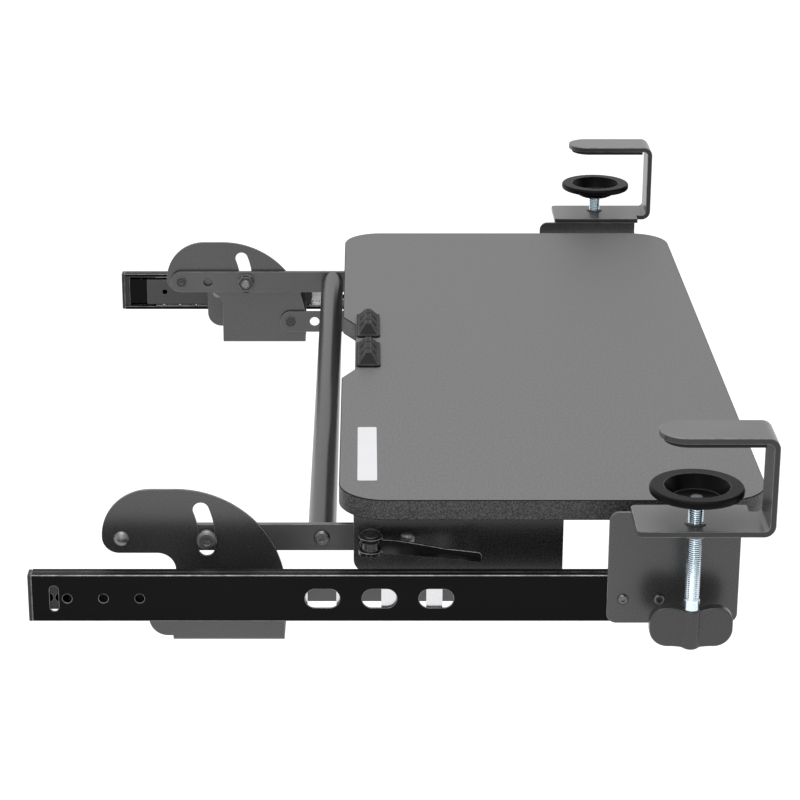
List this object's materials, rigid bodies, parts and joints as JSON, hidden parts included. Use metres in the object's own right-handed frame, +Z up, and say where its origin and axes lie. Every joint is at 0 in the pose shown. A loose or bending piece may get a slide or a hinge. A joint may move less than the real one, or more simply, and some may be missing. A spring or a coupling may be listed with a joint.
{
  "type": "clamp-on keyboard tray",
  "caption": "Keyboard tray on ball slides that clamps to a desk's front edge, slides out and swings up or down on level-keeping arms.",
  "frame": {"origin": "middle of the whole tray, left to right and front to back, at its lowest face", "axes": "+X to the right across the tray, -Y to the user, +Z up"},
  "size_m": [0.8476, 0.514, 0.173],
  "materials": {
    "strap_paint": "satin dark grey powder coat",
    "rail_paint": "gloss black",
    "plate_paint": "satin charcoal powder coat",
    "zinc": "bright zinc plating",
    "black_steel": "black oxide",
    "cage_steel": "bright sheet",
    "ball_steel": "polished",
    "laminate": "matt dark laminate on board, black edge",
    "pad_rubber": "matt black",
    "dish_plastic": "matt black",
    "knob_plastic": "matt dark grey",
    "bumper_plastic": "matt black",
    "clip_plastic": "matt black"
  },
  "bodies": {
    "desk_mount": {"left_clamp_bracket": "strap_paint", "right_clamp_bracket": "strap_paint", "left_jaw_pad": "pad_rubber", "right_jaw_pad": "pad_rubber", "left_hanger_plate": "strap_paint", "right_hanger_plate": "strap_paint", "left_outer_rail": "rail_paint", "right_outer_rail": "rail_paint", "left_rail_screws": "black_steel", "right_rail_screws": "black_steel", "left_rail_bumper": "bumper_plastic", "right_rail_bumper": "bumper_plastic", "left_clamp_insert": "zinc", "right_clamp_insert": "zinc"},
    "ball_cages": {"left_ball_cage": "cage_steel", "right_ball_cage": "cage_steel", "left_bearing_balls": "ball_steel", "right_bearing_balls": "ball_steel"},
    "carriage": {"left_inner_rail": "rail_paint", "right_inner_rail": "rail_paint", "left_slide_bracket": "plate_paint", "right_slide_bracket": "plate_paint", "left_slide_rivets": "black_steel", "right_slide_rivets": "black_steel", "left_arm_pivot": "black_steel", "right_arm_pivot": "black_steel", "left_link_pivot": "black_steel", "right_link_pivot": "black_steel"},
    "lift_arms": {"left_lift_arm": "plate_paint", "right_lift_arm": "plate_paint", "left_height_bolt": "black_steel", "right_height_bolt": "black_steel", "left_height_nut": "black_steel", "right_height_nut": "black_steel", "left_lever_bolt": "black_steel", "right_lever_bolt": "black_steel", "cross_tube": "plate_paint", "tube_plugs": "black_steel", "tube_screws": "black_steel", "lever_washers": "black_steel"},
    "lower_links": {"left_lower_link": "plate_paint", "right_lower_link": "plate_paint"},
    "tray": {"tray_board": "laminate", "cable_clips": "clip_plastic", "left_tray_bracket": "plate_paint", "right_tray_bracket": "plate_paint", "left_tray_pivots": "black_steel", "right_tray_pivots": "black_steel", "left_bracket_screws": "black_steel", "right_bracket_screws": "black_steel"},
    "left_lever": {"left_cam_lever": "rail_paint", "left_cam_pin": "black_steel"},
    "left_pad": {"left_clamp_pad": "dish_plastic"},
    "left_screw": {"left_clamp_screw": "zinc", "left_wing_knob": "knob_plastic"},
    "right_lever": {"right_cam_lever": "rail_paint", "right_cam_pin": "black_steel"},
    "right_pad": {"right_clamp_pad": "dish_plastic"},
    "right_screw": {"right_clamp_screw": "zinc", "right_wing_knob": "knob_plastic"}
  },
  "joints": [
    {"name": "tray_slide", "type": "slide", "parent": "desk_mount", "child": "carriage", "axis": [0, -1, 0], "range_m": [0, 0.25]},
    {"name": "cage_slide", "type": "slide", "parent": "desk_mount", "child": "ball_cages", "axis": [0, -1, 0], "range_m": [0, 0.125]},
    {"name": "tray_lift", "type": "hinge", "parent": "carriage", "child": "lift_arms", "pos_m": [0, 0.1965, 0.061], "axis": [-1, 0, 0], "range_deg": [-7, 21]},
    {"name": "link_turn", "type": "hinge", "parent": "carriage", "child": "lower_links", "pos_m": [0, 0.0946, 0.0216], "axis": [-1, 0, 0], "range_deg": [-7, 21]},
    {"name": "tray_level", "type": "hinge", "parent": "lift_arms", "child": "tray", "pos_m": [0, -0.0053, 0.061], "axis": [-1, 0, 0], "range_deg": [-21, 7]},
    {"name": "left_lever_turn", "type": "hinge", "parent": "lift_arms", "child": "left_lever", "pos_m": [-0.3225, 0.0206, 0.061], "axis": [0, 0, -1], "range_deg": [0, 160]},
    {"name": "left_pad_rise", "type": "slide", "parent": "desk_mount", "child": "left_pad", "axis": [0, 0, 1], "range_m": [-0.0125, 0.031]},
    {"name": "left_screw_turn", "type": "hinge", "parent": "left_pad", "child": "left_screw", "pos_m": [-0.392, -0.1964, 0.046], "axis": [0, 0, 1], "range_deg": [-3010, 7450]},
    {"name": "right_lever_turn", "type": "hinge", "parent": "lift_arms", "child": "right_lever", "pos_m": [0.3225, 0.0206, 0.061], "axis": [0, 0, 1], "range_deg": [0, 160]},
    {"name": "right_pad_rise", "type": "slide", "parent": "desk_mount", "child": "right_pad", "axis": [0, 0, 1], "range_m": [-0.0125, 0.031]},
    {"name": "right_screw_turn", "type": "hinge", "parent": "right_pad", "child": "right_screw", "pos_m": [0.392, -0.1964, 0.046], "axis": [0, 0, 1], "range_deg": [-3010, 7450]}
  ],
  "couplings": [
    {"joint": "cage_slide", "follows": "tray_slide", "ratio": 0.5},
    {"joint": "link_turn", "follows": "tray_lift", "ratio": 1},
    {"joint": "tray_level", "follows": "tray_lift", "ratio": -1},
    {"joint": "left_screw_turn", "follows": "left_pad_rise", "rad_per_m": 4188.8},
    {"joint": "right_screw_turn", "follows": "right_pad_rise", "rad_per_m": 4188.8}
  ]
}
